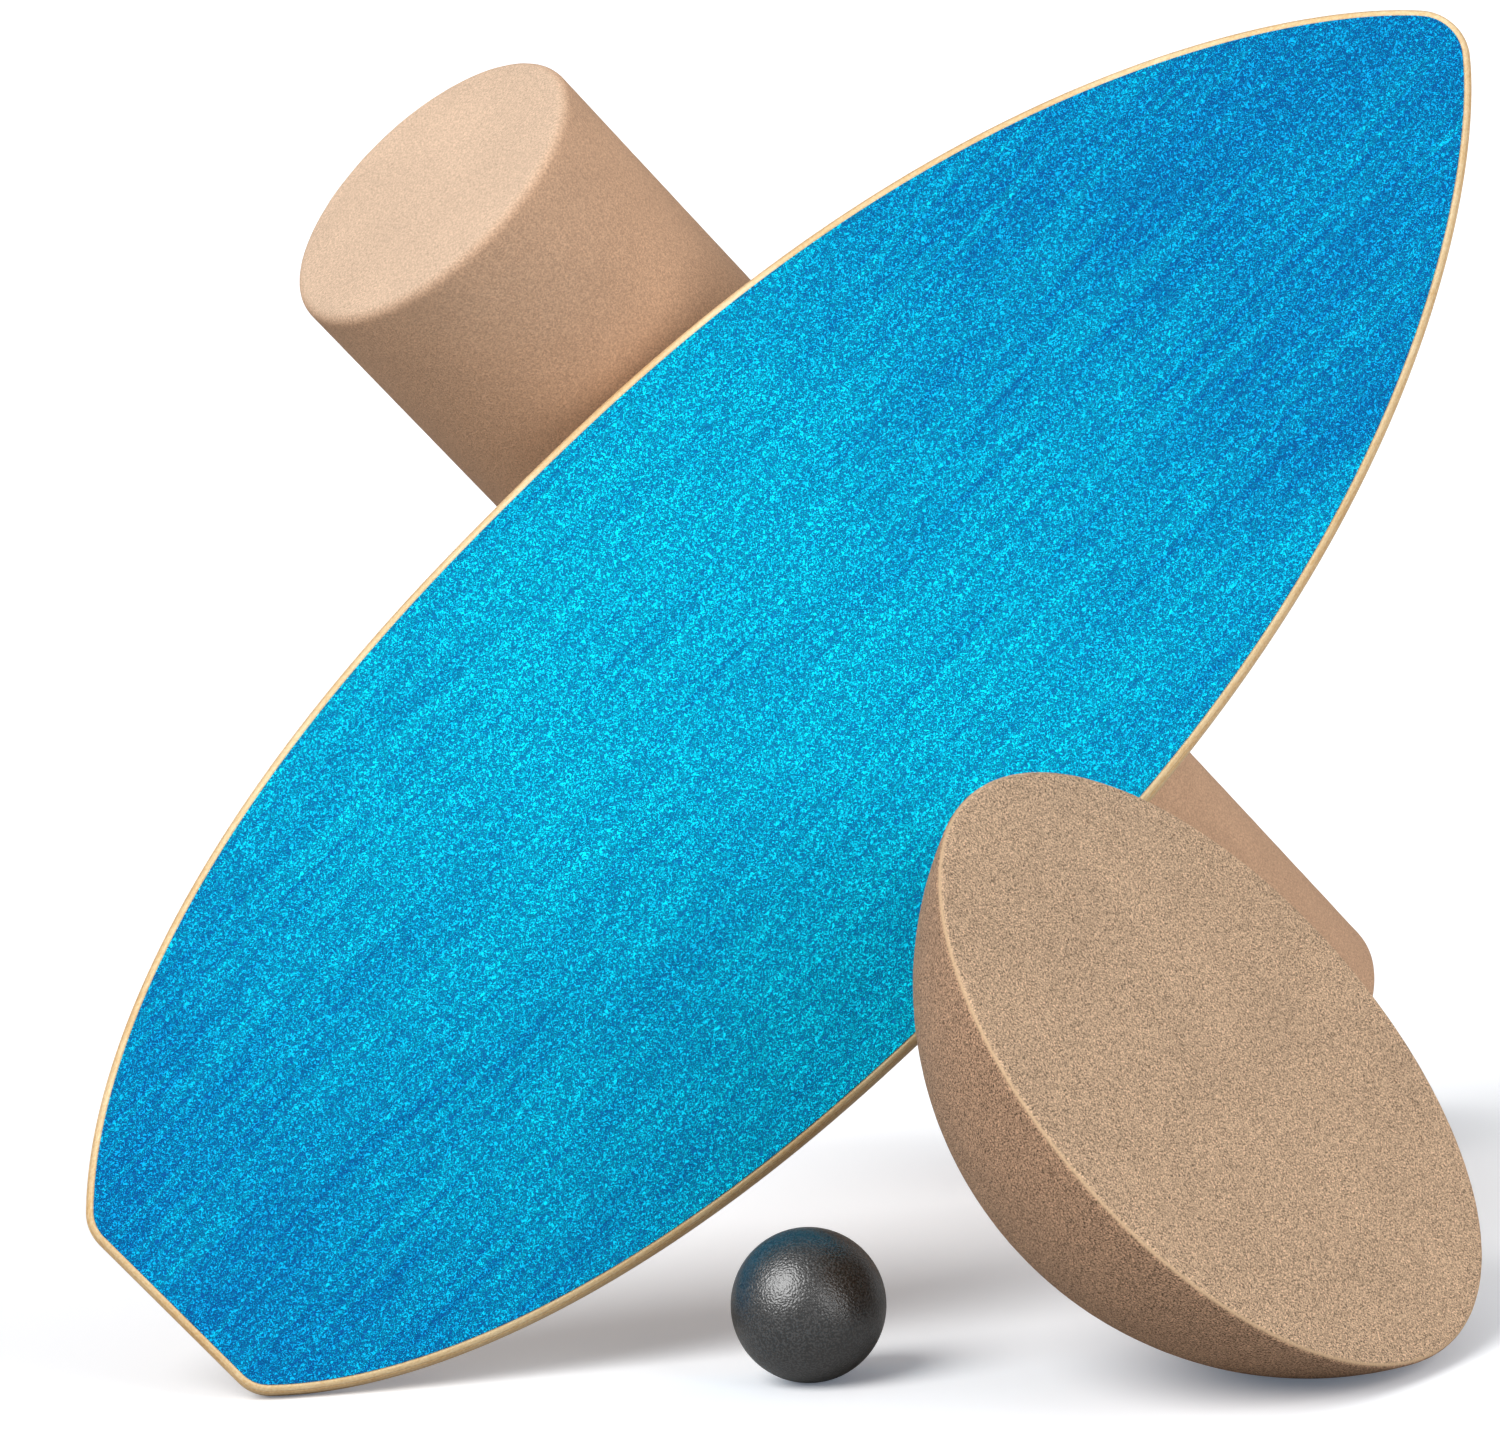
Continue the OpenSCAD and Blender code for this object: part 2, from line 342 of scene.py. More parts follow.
# %% Lay the grip face
grip_inset = 3.4 * mm
grip_round = 0.3 * mm
quarter = np.linspace(0, np.pi / 2, 5)
grip_heights = np.concatenate([[deck_t - grip_t], deck_t - grip_round * (1 - np.sin(quarter))])
grip_insets = np.concatenate([[grip_inset], grip_inset + grip_round * (1 - np.cos(quarter))])
grip_sheet = stacked_piece("grip_sheet", grip_heights, grip_insets)

# %% [markdown]
# ## Turned cork
#
# The roller and the half ball are pressed from cork crumbs in a mould and then turned and sanded.
# A turned shape is a profile, which is a distance from the axis at each height, carried round in a
# circle. Sanded cork isn't glass smooth: harder crumbs stand a little proud. So each point moves
# along its normal by a lumpy field, which is random values on a lattice, blended smoothly between.
# The lumps only ever take cork away, as sanding does, so the piece stays inside its full size. A
# Displace modifier could move the points as well, but here the field is a formula that can be
# read.

# %% Lumps and turned shapes
lattice = 32
small_lump, large_lump = 3.2 * mm, 8 * mm


def lumps(points, size, seed):
    """A smooth random field from 0 to 1: lattice cells of one size with blended corner values.

    The weight of a corner falls from 1 to 0 across the cell as 3t² - 2t³, which has no kink.
    """
    values = np.random.default_rng(seed).random((lattice, lattice, lattice))
    cell = np.floor(points / size).astype(int)
    part = points / size - cell
    part = part * part * (3 - 2 * part)
    field = np.zeros(len(points))
    for corner in np.ndindex(2, 2, 2):
        weight = np.prod(np.where(corner, part, 1 - part), axis=1)
        field += weight * values[tuple(((cell + corner) % lattice).T)]
    return field


def profile_normals(profile):
    """The outward unit normal of each profile row: the profile's direction, turned a quarter."""
    tangent = np.gradient(profile, axis=0)
    normal = np.column_stack([tangent[:, 1], -tangent[:, 0]])
    return normal / np.linalg.norm(normal, axis=1, keepdims=True)


def turned_piece(name, profile, turns, place, axis, roughness):
    """A profile of (radius, height) rows carried round an axis; the first and last rows are poles.

    A point is radius * (cos a * start + sin a * side) + height * axis, for angles a all the way
    round. The start and side directions stand at right angles to the axis and to each other.
    """
    start = np.cross(axis, [0.0, 0.0, 1.0])
    start = start / np.linalg.norm(start)
    side = np.cross(axis, start)
    angle = np.linspace(0, 2 * np.pi, turns, endpoint=False)
    spokes = np.cos(angle)[:, None] * start + np.sin(angle)[:, None] * side
    normal = profile_normals(profile)
    rows = profile[1:-1]
    ring = rows[:, 0, None, None] * spokes + rows[:, 1, None, None] * axis
    push = normal[1:-1, 0, None, None] * spokes + normal[1:-1, 1, None, None] * axis
    ring, push = ring.reshape(-1, 3), push.reshape(-1, 3)
    grain = 0.6 * lumps(ring, small_lump, 1) + 0.4 * lumps(ring, large_lump, 2) - 1
    points = place + np.concatenate([
        ring + push * grain[:, None] * roughness,
        [profile[0, 1] * axis, profile[-1, 1] * axis],
    ])
    quads = ring_faces(len(rows), turns)
    edge = np.arange(turns)
    beside = (edge + 1) % turns
    last = (len(rows) - 1) * turns
    first_pole, last_pole = len(ring), len(ring) + 1
    fan_in = np.column_stack([beside, edge, np.full(turns, first_pole)])
    fan_out = np.column_stack([last + edge, last + beside, np.full(turns, last_pole)])
    faces = quads.tolist() + fan_in.tolist() + fan_out.tolist()
    return mesh_piece(name, points, faces, [True] * len(faces))


def mark(piece, name, share, turns):
    """Stores a share from 0 to 1 for each profile row on all the points of its ring."""
    values = np.concatenate([np.repeat(share[1:-1], turns), share[[0, -1]]])
    attribute = piece.data.attributes.new(name, "FLOAT", "POINT")
    attribute.data.foreach_set("value", values.astype(np.float32))

# %% [markdown]
# ## The roller
#
# The roller's profile starts at the middle of one end, runs out to the edge, round a small arc,
# along the side and back in at the other end. The steps along it are about two millimetres, fine
# enough for the lumps of the cork to show where the light grazes the side. Blender's own cylinder
# has a side of long thin faces, which no lump could bend. Each point also keeps how squarely it
# faces an end, because the material has to know the sawn ends from the moulded side.

# %% Turn the roller
roller_r = 71.3 * mm
roller_l = 579 * mm
roller_edge_r = 5 * mm
cork_step = 2.1 * mm
cork_lump = 0.16 * mm
edge_points = 9

roller_middle = np.array(joints["roller_roll"]["pos_m"])
roller_axis = np.array(joints["roller_roll"]["axis"])
roller_axis = roller_axis / np.linalg.norm(roller_axis)


def path(*stretches):
    """Joins stretches of a profile, without the point that two of them share."""
    return np.concatenate([stretches[0]] + [stretch[1:] for stretch in stretches[1:]])


def line(start, end, step):
    """Evenly spaced points between two places, at most a step apart."""
    start, end = np.array(start, float), np.array(end, float)
    count = int(np.ceil(np.linalg.norm(end - start) / step)) + 1
    return start + (end - start) * np.linspace(0, 1, count)[:, None]


flat_r = roller_r - roller_edge_r
half_l = roller_l / 2
low_arc = arc(np.array([flat_r, roller_edge_r - half_l]), roller_edge_r, -np.pi / 2, 0, edge_points)
high_arc = arc(np.array([flat_r, half_l - roller_edge_r]), roller_edge_r, 0, np.pi / 2, edge_points)
roller_profile = path(
    line([0, -half_l], low_arc[0], cork_step),
    low_arc,
    line(low_arc[-1], high_arc[0], cork_step),
    high_arc,
    line(high_arc[-1], [0, half_l], cork_step),
)
roller_turns = 208
roller_cork = turned_piece("roller_cork", roller_profile, roller_turns,
                           roller_middle, roller_axis, cork_lump)
faces_end = np.abs(profile_normals(roller_profile)[:, 1])
mark(roller_cork, "cut_face", faces_end ** 2, roller_turns)
mark(roller_cork, "sanded_edge", np.zeros(len(roller_profile)), roller_turns)

# %% [markdown]
# ## The half ball
#
# The half ball is less than half of a sphere. Its dome's radius follows from the width of the flat
# face and the height: (r² + h²) / 2h. The dome's profile is an arc about the sphere's centre,
# which is also the point it rocks about. A small arc that touches both the dome and the flat face
# rounds the rim. A ball cut with a Boolean would give the same shape, but with ragged faces along
# the cut.

# %% Turn the half ball
half_ball_r = 143 * mm
half_ball_h = 100.6 * mm
half_ball_edge_r = 2.5 * mm
rim_points = 11
half_ball_turns = 400
dome_r = (half_ball_r ** 2 + half_ball_h ** 2) / (2 * half_ball_h)
face_height = half_ball_h - dome_r

dome_centre = np.array(joints["half_ball_rock"]["pos_m"])
face_axis = np.array(mounts["half_ball_face"]["axis"])
face_axis = face_axis / np.linalg.norm(face_axis)

rim_height = face_height - half_ball_edge_r
rim_x = np.sqrt((dome_r - half_ball_edge_r) ** 2 - rim_height ** 2)
rim_angle = np.arctan2(rim_height, rim_x)
dome_steps = int(dome_r * (rim_angle + np.pi / 2) / cork_step)
dome_arc = arc(np.zeros(2), dome_r, -np.pi / 2, rim_angle, dome_steps)
rim_arc = arc(np.array([rim_x, rim_height]), half_ball_edge_r, rim_angle, np.pi / 2, rim_points)
half_ball_profile = path(dome_arc, rim_arc, line(rim_arc[-1], [0, face_height], cork_step))
half_ball_profile[0, 0] = 0  # the arc ends a rounding error off the axis, and a pole is on it
half_ball_cork = turned_piece("half_ball_cork", half_ball_profile, half_ball_turns,
                              dome_centre, face_axis, cork_lump)
faces_out = profile_normals(half_ball_profile)
mark(half_ball_cork, "cut_face", (faces_out[:, 1] > 0.5).astype(float), half_ball_turns)
# The pale line, partly sanded cork and partly a painted highlight, is where the rim's arc faces halfway between
# the dome and the flat face.
rim_turn = np.arctan2(faces_out[:, 1], faces_out[:, 0])
rim_share = np.clip((rim_turn - rim_angle) / (np.pi / 2 - rim_angle), 0, 1)
mark(half_ball_cork, "sanded_edge", np.sin(np.pi * rim_share) ** 8, half_ball_turns)

# %% [markdown]
# ## The massage ball
#
# The ball is moulded in one piece from solid rubber. It is the same kind of turned shape, with
# half a circle as its profile and no lumps. Its upper pole is tilted to the back, so that the
# place where the faces narrow to a point isn't where the highlight falls. Blender's UV sphere is
# the same mesh.

# %% Turn the massage ball
ball_r = 30.75 * mm
ball_centre = np.array(joints["massage_ball_roll"]["pos_m"])
pole_to_pole, round_the_ball = 97, 192
ball_axis = np.array([0.0, 0.6, 0.8])
ball_profile = arc(np.zeros(2), ball_r, -np.pi / 2, np.pi / 2, pole_to_pole)
ball_profile[[0, -1], 0] = 0
ball_rubber = turned_piece("ball_rubber", ball_profile, round_the_ball, ball_centre, ball_axis, 0)

# %% [markdown]
# ## Patterns that follow the deck
#
# Wood grain and the streaks of a stain run along the deck, not along the room. A Mapping node
# turns the object coordinates back to the bench: X along the deck, Y across it and Z through it.
# After that, a pattern's scale can be written as one over a size in metres. The deck could get a
# UV map instead, but wood is solid, and a pattern in space runs on over its edges as real grain
# does.

# %% Bench coordinates for a material
def bench_coordinates(tree):
    """Object coordinates turned and moved so that the deck lies flat, its underside at Z = 0."""
    turn_back = Matrix(deck_turn.T.tolist())
    shift = -(deck_turn.T @ underside_middle)
    place = add(tree, "ShaderNodeTexCoord")
    mapping = add(tree, "ShaderNodeMapping", {
        "Vector": place.outputs["Object"],
        "Rotation": tuple(turn_back.to_euler("XYZ")),
        "Location": tuple(shift),
    })
    return mapping.outputs["Vector"]

# %% [markdown]
# ## Blue stain under an embossed lacquer
#
# The standing face is birch that is brushed with a blue water stain and sealed with a thick
# polyurethane lacquer, rolled on so that it dries in short worm-like ridges. The stain gives the
# eye long streaks, lighter where the brush ran dry, and it is deeper at the nose and the tail. The
# ridges give a dense sparkle of light crests and dark hollows, one and a half to two millimetres
# apart.
#
# The ridges are far too many to model, so one noise gives them both bump and shade. Bump alone isn't enough, so
# shade is also painted into the colour: a hollow is darker and bluer, partly because it holds more of the stain
# and partly as painted shade, while a crest is paler, partly because the coat is thin there and partly as a
# painted highlight. The shade therefore has its own factor for red, green and blue: nearly no red in the hollows,
# and more green on the crests.

# %% The grip material
ridge_mm = 0.9
ridge_depth = 0.8 * mm
palest_at = -55 * mm
deepest_after = 370 * mm


def stained_grip():
    """Stain plus ridges: streaks and patches choose the blue, and the ridges tilt it and paint shade and highlight
    into it.
    """
    material, tree = new_material("blue_stained_birch_rolled_lacquer")
    bench = bench_coordinates(tree)

    def streaks(width_mm, length_mm, detail):
        """Noise drawn out along the deck: its cells are length by width on the bench."""
        stretched = add(tree, "ShaderNodeMapping", {
            "Vector": bench, "Scale": (1000 / length_mm, 1000 / width_mm, 1)})
        return add(tree, "ShaderNodeTexNoise", {
            "Vector": stretched.outputs["Vector"], "Scale": 1.0, "Detail": detail,
            "Roughness": 0.62, "Distortion": 0.15}).outputs["Fac"]

    broad = streaks(24, 200, 2.0)
    narrow = streaks(3.0, 80, 3.0)
    patches = add(tree, "ShaderNodeTexNoise", {
        "Vector": bench, "Scale": 1000 / 110, "Detail": 1.0}).outputs["Fac"]
    # The tone is highest a little to the tail's side of the middle, and falls towards both ends.
    past_middle = add(tree, "ShaderNodeSeparateXYZ", {"Vector": bench}).outputs["X"]
    from_pale = add(tree, "ShaderNodeMath", {
        0: past_middle, 1: -palest_at}, operation="ADD").outputs["Value"]
    off_pale = add(tree, "ShaderNodeMath", {0: from_pale}, operation="ABSOLUTE").outputs["Value"]
    tone = add(tree, "ShaderNodeMapRange", {
        "Value": off_pale, "From Min": 0.0, "From Max": deepest_after,
        "To Min": 0.75, "To Max": 0.05}, interpolation_type="SMOOTHSTEP").outputs["Result"]
    for layer, weight in ((broad, 0.8), (narrow, 1.7), (patches, 0.3)):
        swing = add(tree, "ShaderNodeMath", {
            0: layer, 1: 0.5}, operation="SUBTRACT").outputs["Value"]
        tone = add(tree, "ShaderNodeMath", {0: swing, 1: weight, 2: tone},
                   operation="MULTIPLY_ADD").outputs["Value"]
    stain = add(tree, "ShaderNodeValToRGB", {"Fac": tone})
    stain.color_ramp.elements[0].color = linear("#007CBC")
    stain.color_ramp.elements[1].color = linear("#00B8DF")

    ridges = add(tree, "ShaderNodeTexNoise", {
        "Vector": bench, "Scale": 1000 / ridge_mm, "Detail": 0.0,
        "Distortion": 1.5}).outputs["Fac"]
    crest = add(tree, "ShaderNodeMapRange", {
        "Value": ridges, "From Min": 0.39, "From Max": 0.62}).outputs["Result"]
    # Painted shade in the hollows and a painted highlight on the crests, partly the stain's own depth and the
    # coat's thinness.
    shade = add(tree, "ShaderNodeMapRange", {
        "Vector": crest, vector_to_min: (0.1, 0.50, 0.70), vector_to_max: (1.6, 2.15, 1.84)},
        data_type="FLOAT_VECTOR").outputs["Vector"]
    lit = add(tree, "ShaderNodeVectorMath", {0: stain.outputs["Color"], 1: shade},
              operation="MULTIPLY").outputs["Vector"]

    bump = add(tree, "ShaderNodeBump", {
        "Height": crest, "Strength": 1.0, "Distance": ridge_depth}).outputs["Normal"]
    # Polyurethane's IOR is 1.5. Much of its gloss is lost between the ridges, so the level is low.
    shader = add(tree, "ShaderNodeBsdfPrincipled", {
        "Base Color": lit, "Roughness": 0.5, "IOR": 1.5, "Specular IOR Level": 0.08,
        "Normal": bump})
    add(tree, "ShaderNodeOutputMaterial", {"Surface": shader.outputs["BSDF"]})
    return material

# %% [markdown]
# ## Birch plywood, sanded and lacquered
#
# The bare edge and underside are birch under a clear satin lacquer. A veneer that shows its long
# grain is pale with fine pores drawn out along it. One that is laid crosswise shows end grain at
# the flanks, which drinks more lacquer and looks warmer and speckled. Two materials say that, and
# they differ in colour and in how far the pores are drawn out. The stops are beech with only oil
# on it, a redder wood with the same kind of figure, so the same function makes that as a third.
#
# Birch pores are about a tenth of a millimetre wide, too fine to show. They are drawn as streaks
# about a millimetre and a half wide, which is how a group of them looks from across a room.

# %% The wood materials
speckle_mm, cloud_mm = 1.3, 45


def sanded_wood(name, pale, warm, grain_mm):
    """Warm wood going over to pale by the sum of drawn-out grain, fine speckle and slow cloud."""
    material, tree = new_material(name)
    bench = bench_coordinates(tree)
    grain_scale = tuple(1000 / size for size in grain_mm)
    stretched = add(tree, "ShaderNodeMapping", {"Vector": bench, "Scale": grain_scale})
    grain = add(tree, "ShaderNodeTexNoise", {
        "Vector": stretched.outputs["Vector"], "Scale": 1.0, "Detail": 5.0, "Roughness": 0.6,
        "Distortion": 0.4}).outputs["Fac"]
    speckle = add(tree, "ShaderNodeTexNoise", {
        "Vector": bench, "Scale": 1000 / speckle_mm, "Detail": 2.0,
        "Roughness": 0.65}).outputs["Fac"]
    cloud = add(tree, "ShaderNodeTexNoise", {
        "Vector": bench, "Scale": 1000 / cloud_mm, "Detail": 2.0}).outputs["Fac"]
    mixed = add(tree, "ShaderNodeMath", {0: grain, 1: 0.8, 2: cloud}, operation="MULTIPLY_ADD")
    mixed = add(tree, "ShaderNodeMath", {0: speckle, 1: 1.1, 2: mixed.outputs["Value"]},
                operation="MULTIPLY_ADD")
    share = add(tree, "ShaderNodeMapRange", {
        "Value": mixed.outputs["Value"], "From Min": 1.1, "From Max": 1.8}).outputs["Result"]
    colour = add(tree, "ShaderNodeMix", {
        0: share, mix_a: linear(warm), mix_b: linear(pale)}, data_type="RGBA")
    bump = add(tree, "ShaderNodeBump", {
        "Height": share, "Strength": 0.25, "Distance": 0.1 * mm}).outputs["Normal"]
    shader = add(tree, "ShaderNodeBsdfPrincipled", {
        "Base Color": colour.outputs[mix_out], "Roughness": 0.45, "IOR": 1.5, "Normal": bump})
    add(tree, "ShaderNodeOutputMaterial", {"Surface": shader.outputs["BSDF"]})
    return material

# %% [markdown]
# ## Pressed cork
#
# Cork crumbs are ground to about a millimetre, glued and pressed in a mould. A face that is sawn and sanded shows
# them cut through: an even sandy grain of pale and tan specks with a few short dark flecks of bark. A side that
# met the mould has a browner skin, pebbled rather than cut. The split in colour between the two is partly that
# real difference and partly painted light: the sawn faces are made paler and the moulded side darker, as lit and
# shaded copies of one cork. The sharp rim between the two is sanded off last, which leaves a pale closed line, and
# that line is partly a painted highlight along the rounded rim. Two attributes on the mesh say which is which:
# cut_face and sanded_edge. Two materials could share out the faces instead, but then the border between them would
# follow the mesh, and here it is a smooth share at every point.

# %% The cork materials
fleck_mm, shade_mm = 2.2, 42
crumb_relief = 0.6 * mm
bark = "#6A4C36"


def pressed_cork(name, cut_colour_with_painted_light, skin_colour_with_painted_shade, rim_colour_with_painted_highlight, grit_mm, contrast, pebble, bark_share):
    """Cut face or mould skin, partly painted light and shade, times the crumbs' tone, then bark flecks, then the
    pale rim line with its painted highlight.
    """
    material, tree = new_material(name)
    place = add(tree, "ShaderNodeTexCoord").outputs["Object"]
    cut_face = add(tree, "ShaderNodeAttribute", attribute_name="cut_face").outputs["Fac"]
    rim_line_with_painted_highlight = add(tree, "ShaderNodeAttribute", attribute_name="sanded_edge").outputs["Fac"]

    grit = add(tree, "ShaderNodeTexNoise", {
        "Vector": place, "Scale": 1000 / grit_mm, "Detail": 2.0, "Roughness": 0.65,
        "Distortion": 0.6}).outputs["Fac"]
    cloud = add(tree, "ShaderNodeTexNoise", {
        "Vector": place, "Scale": 1000 / shade_mm, "Detail": 2.0}).outputs["Fac"]
    flecks = add(tree, "ShaderNodeTexNoise", {
        "Vector": place, "Scale": 1000 / fleck_mm, "Detail": 2.0, "Roughness": 0.6,
        "Distortion": 1.4}).outputs["Fac"]

    crumb_tone = add(tree, "ShaderNodeMapRange", {
        "Value": grit, "From Min": 0.36, "From Max": 0.64,
        "To Min": 1 - contrast, "To Max": 1 + contrast}).outputs["Result"]
    cloud_tone = add(tree, "ShaderNodeMapRange", {
        "Value": cloud, "From Min": 0.3, "From Max": 0.7,
        "To Min": 0.95, "To Max": 1.05}).outputs["Result"]
    tone = add(tree, "ShaderNodeMath", {0: crumb_tone, 1: cloud_tone}, operation="MULTIPLY")
    # The cut faces are paler and the mould skin darker, partly as the cork is and partly as painted light and
    # shade.
    body = add(tree, "ShaderNodeMix", {
        0: cut_face, mix_a: linear(skin_colour_with_painted_shade), mix_b: linear(cut_colour_with_painted_light)}, data_type="RGBA")
    toned = add(tree, "ShaderNodeVectorMath", {
        0: body.outputs[mix_out], "Scale": tone.outputs["Value"]}, operation="SCALE")
    is_bark = add(tree, "ShaderNodeMapRange", {
        "Value": flecks, "From Min": 0.34, "From Max": 0.27,
        "To Max": bark_share}).outputs["Result"]
    flecked = add(tree, "ShaderNodeMix", {
        0: is_bark, mix_a: toned.outputs["Vector"], mix_b: linear(bark)}, data_type="RGBA")
    # The pale rim line: partly sanded cork, partly a painted highlight along the rounded rim.
    colour = add(tree, "ShaderNodeMix", {
        0: rim_line_with_painted_highlight, mix_a: flecked.outputs[mix_out], mix_b: linear(rim_colour_with_painted_highlight)}, data_type="RGBA")

    depth = add(tree, "ShaderNodeMapRange", {
        "Value": cut_face, "To Min": pebble, "To Max": 0.4}).outputs["Result"]
    bump = add(tree, "ShaderNodeBump", {
        "Height": grit, "Strength": depth, "Distance": crumb_relief}).outputs["Normal"]
    # Cork is nearly matt: its cells are full of air and send the light back in all directions.
    shader = add(tree, "ShaderNodeBsdfPrincipled", {
        "Base Color": colour.outputs[mix_out], "Roughness": 0.9, "IOR": 1.4, "Normal": bump,
        "Specular IOR Level": 0.25})
    add(tree, "ShaderNodeOutputMaterial", {"Surface": shader.outputs["BSDF"]})
    return material

# %% [markdown]
# ## Moulded rubber
#
# The massage ball is carbon-black rubber from a blasted mould. The blasting gives a fine even
# grain, so the highlight is wide and soft and breaks up into a speckle. A higher roughness alone
# would widen the highlight, but it would stay smooth.
#
# Blasting marks are one or two tenths of a millimetre across, too fine to show, so they are drawn
# 0.8 mm across. The grain also lightens the black a little where the rubber is rubbed, on its
# crests.

# %% The rubber material
blast_mm = 0.8
blast_relief = 0.22 * mm


def moulded_rubber():
    """One fine noise gives the bump, the black of its hollows and the dark grey of its crests."""
    material, tree = new_material("black_moulded_rubber")
    place = add(tree, "ShaderNodeTexCoord").outputs["Object"]
    grain = add(tree, "ShaderNodeTexNoise", {
        "Vector": place, "Scale": 1000 / blast_mm, "Detail": 0.0}).outputs["Fac"]
    ramp = add(tree, "ShaderNodeValToRGB", {"Fac": grain})
    ramp.color_ramp.elements[0].position = 0.46
    ramp.color_ramp.elements[0].color = linear("#000000")
    ramp.color_ramp.elements[1].position = 0.60
    ramp.color_ramp.elements[1].color = linear("#3A3A3A")
    bump = add(tree, "ShaderNodeBump", {
        "Height": grain, "Strength": 1.0, "Distance": blast_relief}).outputs["Normal"]
    # Rubber's IOR is about 1.52, and carbon black raises it. The level is high for a handled sheen.
    shader = add(tree, "ShaderNodeBsdfPrincipled", {
        "Base Color": ramp.outputs["Color"], "Roughness": 0.34, "IOR": 1.62, "Normal": bump,
        "Specular IOR Level": 1.0})
    add(tree, "ShaderNodeOutputMaterial", {"Surface": shader.outputs["BSDF"]})
    return material

# %% [markdown]
# ## Zinc-plated steel
#
# The stop screws are steel with a thin bright zinc coat. The coat is slightly cloudy, so the
# roughness and the grey wander a little over each head. One noise drives both, because a cloudy
# spot is both duller and whiter. Without it, the heads would look painted.

# %% The screw material
zinc_cloud_mm = 2.0


def zinc_plated():
    """A metal whose grey and roughness both follow one cloudy noise with cells of 2 mm."""
    material, tree = new_material("zinc_plated_steel")
    place = add(tree, "ShaderNodeTexCoord").outputs["Object"]
    cloud = add(tree, "ShaderNodeTexNoise", {
        "Vector": place, "Scale": 1000 / zinc_cloud_mm, "Detail": 3.0}).outputs["Fac"]
    rough = add(tree, "ShaderNodeMapRange", {
        "Value": cloud, "To Min": 0.25, "To Max": 0.45}).outputs["Result"]
    tint = add(tree, "ShaderNodeValToRGB", {"Fac": cloud})
    tint.color_ramp.elements[0].color = linear("#9FA3A6")
    tint.color_ramp.elements[1].color = linear("#C9CBCC")
    shader = add(tree, "ShaderNodeBsdfPrincipled", {
        "Base Color": tint.outputs["Color"], "Metallic": 1.0, "Roughness": rough})
    add(tree, "ShaderNodeOutputMaterial", {"Surface": shader.outputs["BSDF"]})
    return material

# %% [markdown]
# ## Dressing the pieces
#
# Each piece is of one material, so it gets one finish all over. The odd veneers run their grain
# along the deck and the even ones across it, as plywood is laid, and the outer two are both odd.
# The stops' grain runs along the bars, which lie across the deck. The roller is pressed a little
# paler and more evenly than the half ball, so the two share one function with other numbers.

# %% Dress the pieces
def dress(piece, material):
    """Gives a piece one material in place of any that it has."""
    piece.data.materials.clear()
    piece.data.materials.append(material)
    print(f"{piece.name} is finished in {material.name}")


long_grain = sanded_wood("birch_veneer_long_grain", "#F1D9AE", "#D9B27A", grain_mm=(60, 1.6, 1.6))
cross_grain = sanded_wood("birch_veneer_end_grain", "#EBCB99", "#CC9F66", grain_mm=(1.4, 30, 1.4))
beech_bar = sanded_wood("beech_bar_oiled", "#DDB78A", "#B98A5E", grain_mm=(1.2, 40, 1.2))
# In each cork the cut colour is partly painted light and the skin colour partly painted shade; the half ball's rim
# colour is partly a painted highlight.
roller_finish = pressed_cork(
    "pressed_cork_fine_grain", "#D0B49B", "#C39E81", "#D0B49B",
    grit_mm=0.8, contrast=0.22, pebble=0.8, bark_share=0.3)
half_ball_finish = pressed_cork(
    "pressed_cork_medium_grain", "#B5997E", "#AC8A6F", "#C9AA88",
    grit_mm=0.68, contrast=0.85, pebble=1.0, bark_share=0.9)

dress(grip_sheet, stained_grip())
for i, veneer in enumerate(veneers):
    dress(veneer, long_grain if i % 2 == 0 else cross_grain)
dress(roller_cork, roller_finish)
dress(half_ball_cork, half_ball_finish)
dress(ball_rubber, moulded_rubber())
for name in ("tail_stop", "nose_stop"):
    dress(frame["nodes"][name], beech_bar)
dress(frame["nodes"]["stop_screws"], zinc_plated())

# %% [markdown]
# ## Joining the looks to the motion
#
# Each new piece stands for a CAD solid: the solid is hidden, and the piece is parented to an Empty named for the
# solid's body, so that it moves with that body. The stops and their screws keep their CAD meshes, whose shape is
# right as it is.

# %% Ride on the bodies
def stand_for(piece, node, body):
    """The piece replaces one CAD node and moves with its body."""
    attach(piece, body)
    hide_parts(node)


stand_for(grip_sheet, "grip_face", "deck")
for i, veneer in enumerate(veneers):
    stand_for(veneer, f"ply_{i + 1}", "deck")
stand_for(roller_cork, "cork_roller", "roller")
stand_for(half_ball_cork, "half_ball", "half_ball")
stand_for(ball_rubber, "massage_ball", "massage_ball")
print(len(veneers) + 1, "pieces ride on the deck, and the roller and the balls each on their own")
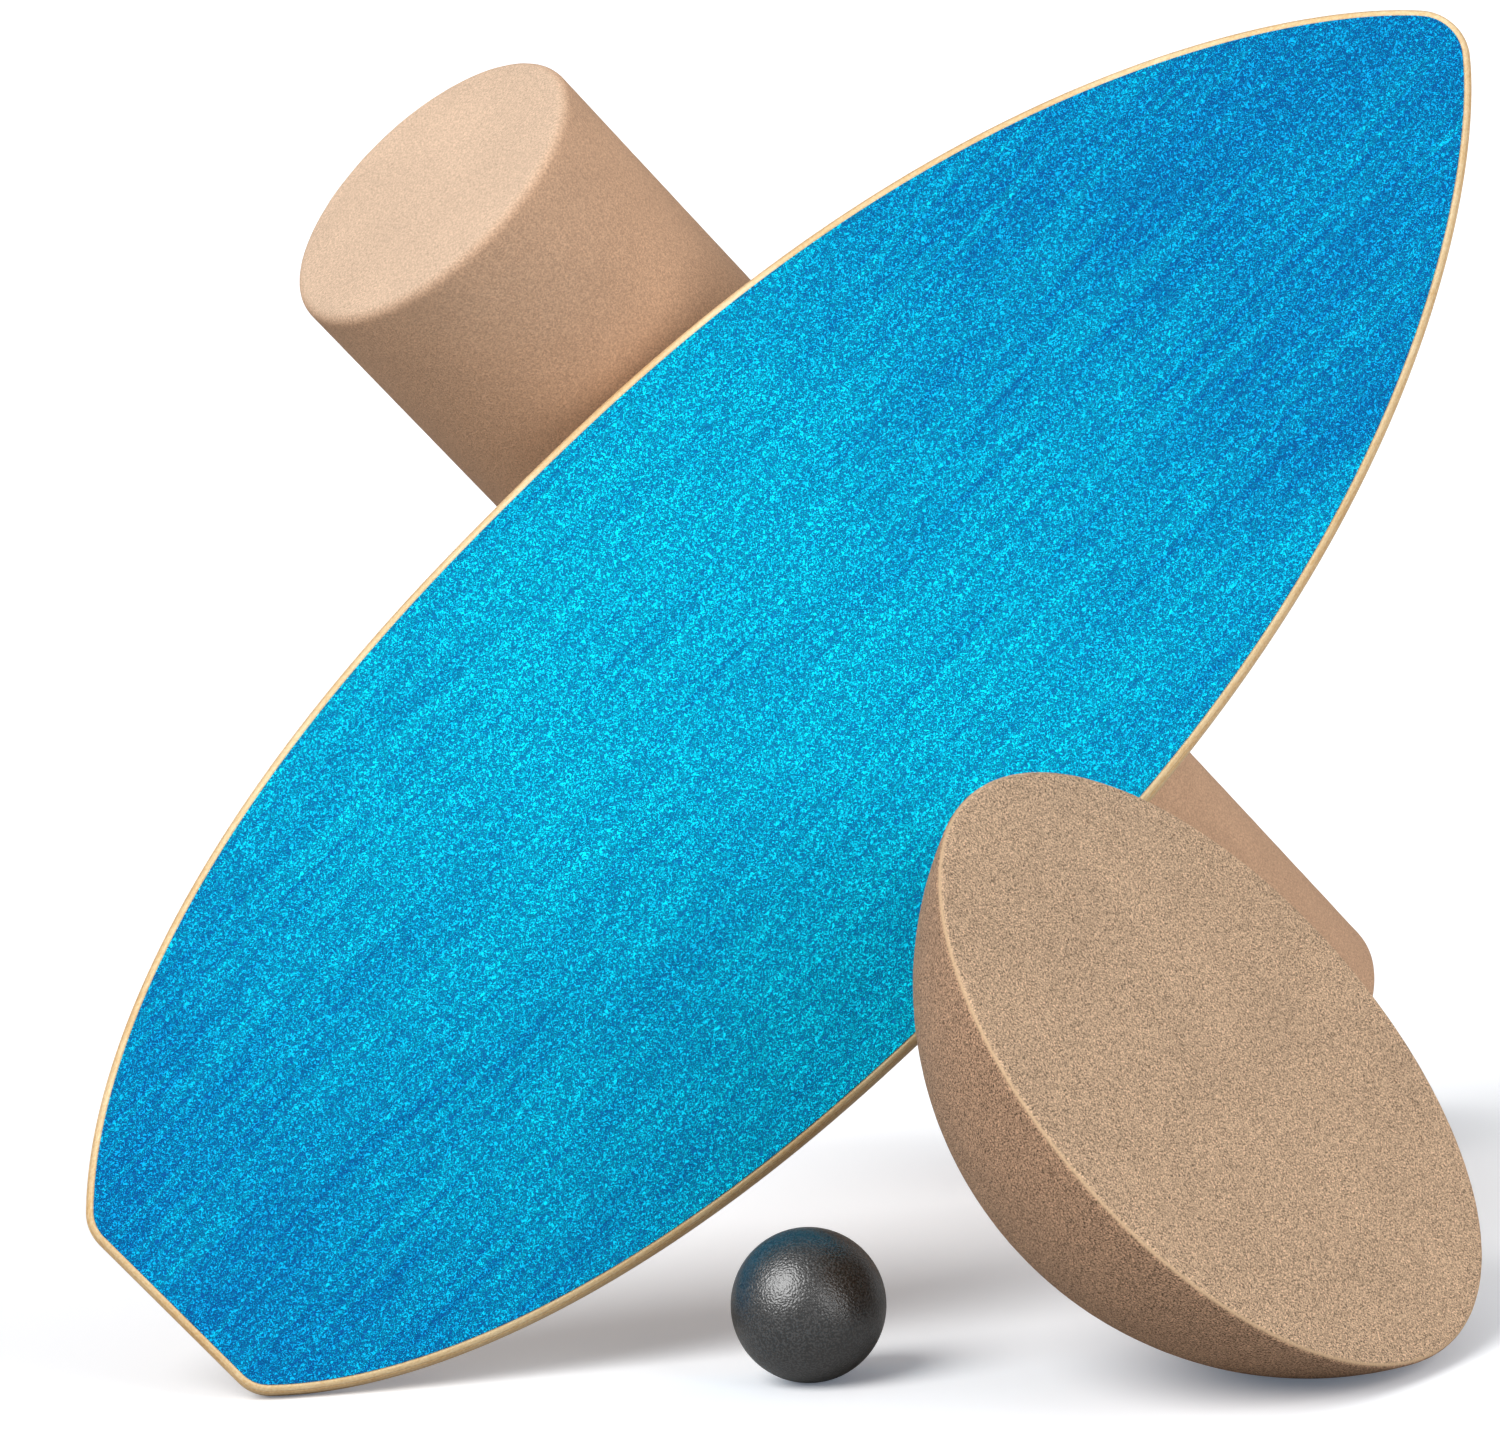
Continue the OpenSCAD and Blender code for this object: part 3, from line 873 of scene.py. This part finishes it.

# %% [markdown]
# ## Floor and light
#
# A product like this is shown on a white sweep. The camera sees a white floor and pure white behind it. What the
# pieces receive is dimmer: a Light Path node tells the two apart, so that the room and the floor don't fill in
# every shadow and the shapes keep their shade. The floor also shows the camera a little painted bluish glow of its
# own, with no lamp behind it, so that its shadows are painted paler and cooler. Both are only in the floor and the
# room. The pieces' materials don't ask who is looking.
#
# Two wide soft suns, high on the left and lower on the right, fall evenly, so the floor stays
# white out to the horizon. Area lamps would be softer still, but their light fades with distance,
# and the far floor would turn grey.

# %% The white sweep
floor_half = 20.0
painted_glow_strength = 0.15
floor_mesh = bpy.data.meshes.new("floor")
floor_corners = np.array([[-1, -1, 0], [1, -1, 0], [1, 1, 0], [-1, 1, 0]]) * floor_half
floor_mesh.from_pydata(floor_corners.tolist(), [], [(0, 1, 2, 3)])
floor = bpy.data.objects.new("floor", floor_mesh)
bpy.context.scene.collection.objects.link(floor)
white_floor, tree = new_material("matt_white_floor")
to_camera = add(tree, "ShaderNodeLightPath").outputs["Is Camera Ray"]
sheet = add(tree, "ShaderNodeMix", {
    0: to_camera, mix_a: linear("#B0B0B0"), mix_b: linear("#FFFFFF")}, data_type="RGBA")
matt = add(tree, "ShaderNodeBsdfDiffuse", {"Color": sheet.outputs[mix_out]})
# A painted glow that only the camera sees, which lifts the floor's shadows.
glow = add(tree, "ShaderNodeMath", {
    0: to_camera, 1: painted_glow_strength}, operation="MULTIPLY").outputs["Value"]
painted_floor_glow = add(tree, "ShaderNodeEmission", {"Color": linear("#D8E8FF"), "Strength": glow})
both = add(tree, "ShaderNodeAddShader", {
    0: matt.outputs["BSDF"], 1: painted_floor_glow.outputs["Emission"]})
add(tree, "ShaderNodeOutputMaterial", {"Surface": both.outputs["Shader"]})
dress(floor, white_floor)

# %% The white room
world = bpy.data.worlds.new("white_room")
bpy.context.scene.world = world
world.use_nodes = True
room = world.node_tree
room.nodes.clear()
sees_white = add(room, "ShaderNodeLightPath").outputs["Is Camera Ray"]
strength = add(room, "ShaderNodeMapRange", {"Value": sees_white, "To Min": 0.38, "To Max": 1.0})
white = add(room, "ShaderNodeBackground", {
    "Color": linear("#FFFFFF"), "Strength": strength.outputs["Result"]})
add(room, "ShaderNodeOutputWorld", {"Surface": white.outputs["Background"]})

# %% The two suns
def aimed_light(name, kind, place, aim, power, **settings):
    """A light at a place, turned to look at a point."""
    light = bpy.data.objects.new(name, bpy.data.lights.new(name, kind))
    light.data.energy = power
    for setting, value in settings.items():
        setattr(light.data, setting, value)
    toward = Vector(aim) - Vector(place)
    turn = toward.to_track_quat("-Z", "Y").to_matrix().to_4x4()
    light.matrix_world = Matrix.Translation(place) @ turn
    bpy.context.scene.collection.objects.link(light)


middle = (0, 0, 0.25)
aimed_light("left_sun", "SUN", (-1.5, -1.3, 1.9), middle, 2.6, angle=np.radians(46))
aimed_light("right_sun", "SUN", (2.0, -1.5, 1.25), middle, 1.75, angle=np.radians(50))
bpy.context.scene.view_settings.view_transform = "Standard"
bpy.context.scene.view_settings.look = "None"
